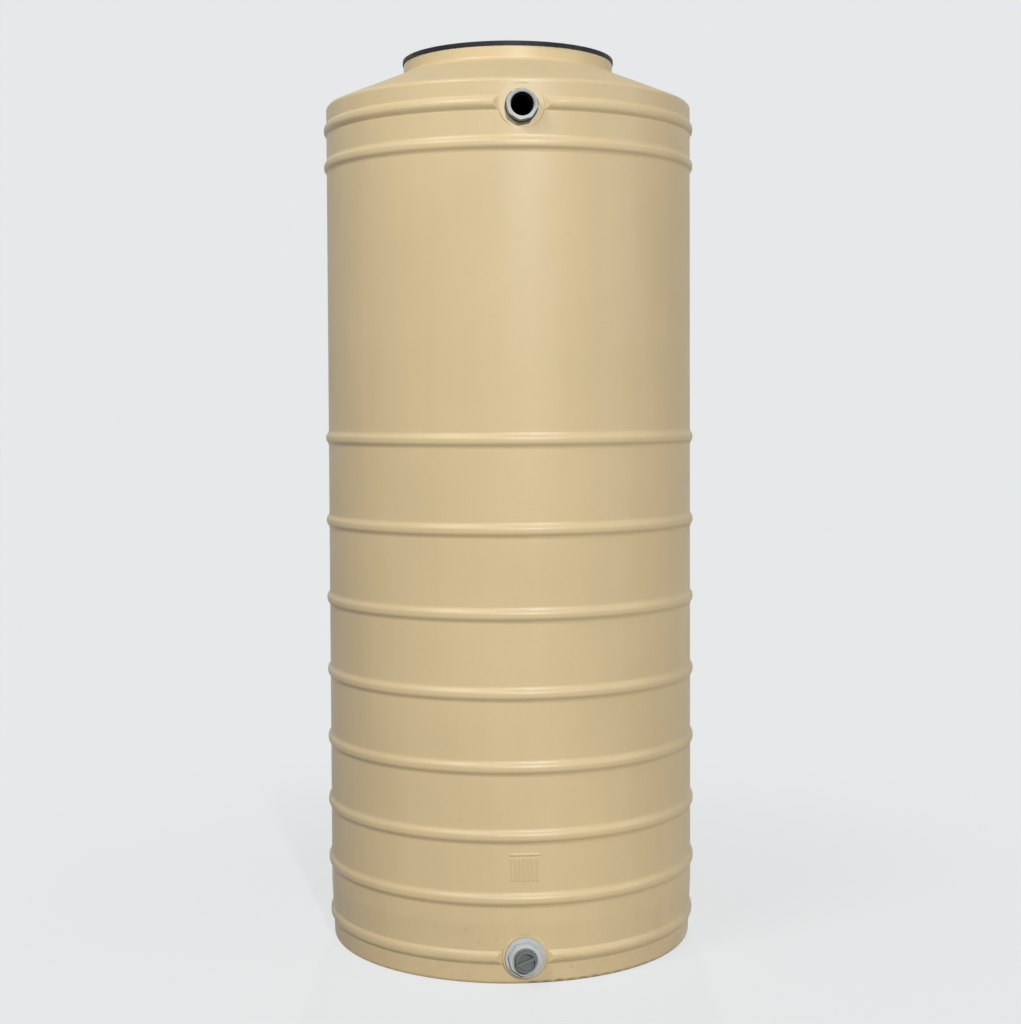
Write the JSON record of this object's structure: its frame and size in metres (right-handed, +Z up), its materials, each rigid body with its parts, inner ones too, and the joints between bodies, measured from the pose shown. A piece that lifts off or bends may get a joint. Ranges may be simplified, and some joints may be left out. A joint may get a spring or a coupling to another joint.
{
  "type": "slimline water tank",
  "caption": "Tall, slim, round plastic water storage tank with shallow ribs, a lift-off lid, a threaded inlet near the top and a plugged outlet at the foot.",
  "frame": {"origin": "centre of the flat floor's underside, on the tank's axis", "axes": "+Z up along the tank's axis, -Y out of the two pipe fittings, +X to the right as they are faced"},
  "size_m": [0.7909, 0.821, 1.896],
  "materials": {
    "tank_wall": "matt moulded polyethylene, sand",
    "lid": "matt moulded polyethylene, black",
    "fitting": "satin moulded plastic, light grey",
    "backnut": "satin moulded plastic, black",
    "slip_washer": "smooth plastic, white",
    "rubber": "matt rubber",
    "plug": "satin moulded plastic, mid grey"
  },
  "bodies": {
    "tank": {"tank_shell": "tank_wall", "inlet_body": "fitting", "inlet_outer_washer": "rubber", "inlet_inner_washer": "rubber", "inlet_slip_washer": "slip_washer", "inlet_backnut": "backnut", "outlet_body": "fitting", "outlet_outer_washer": "rubber", "outlet_inner_washer": "rubber", "outlet_slip_washer": "slip_washer", "outlet_backnut": "backnut"},
    "lid": {"lid": "lid"},
    "plug_seal": {"plug_seal": "rubber"},
    "outlet_plug": {"outlet_plug": "plug"}
  },
  "joints": [
    {"name": "lid_lift", "type": "slide", "parent": "tank", "child": "lid", "axis": [0, 0, 1], "range_m": [0, 0.08]},
    {"name": "plug_feed", "type": "slide", "parent": "tank", "child": "plug_seal", "axis": [0, -1, 0], "range_m": [0, 0.01732]},
    {"name": "plug_turn", "type": "hinge", "parent": "plug_seal", "child": "outlet_plug", "pos_m": [0, -0.3886, 0.056], "axis": [0, -1, 0], "range_deg": [0, 2700]}
  ],
  "couplings": [
    {"joint": "plug_feed", "follows": "plug_turn", "m_per_rad": 0.00036749}
  ]
}
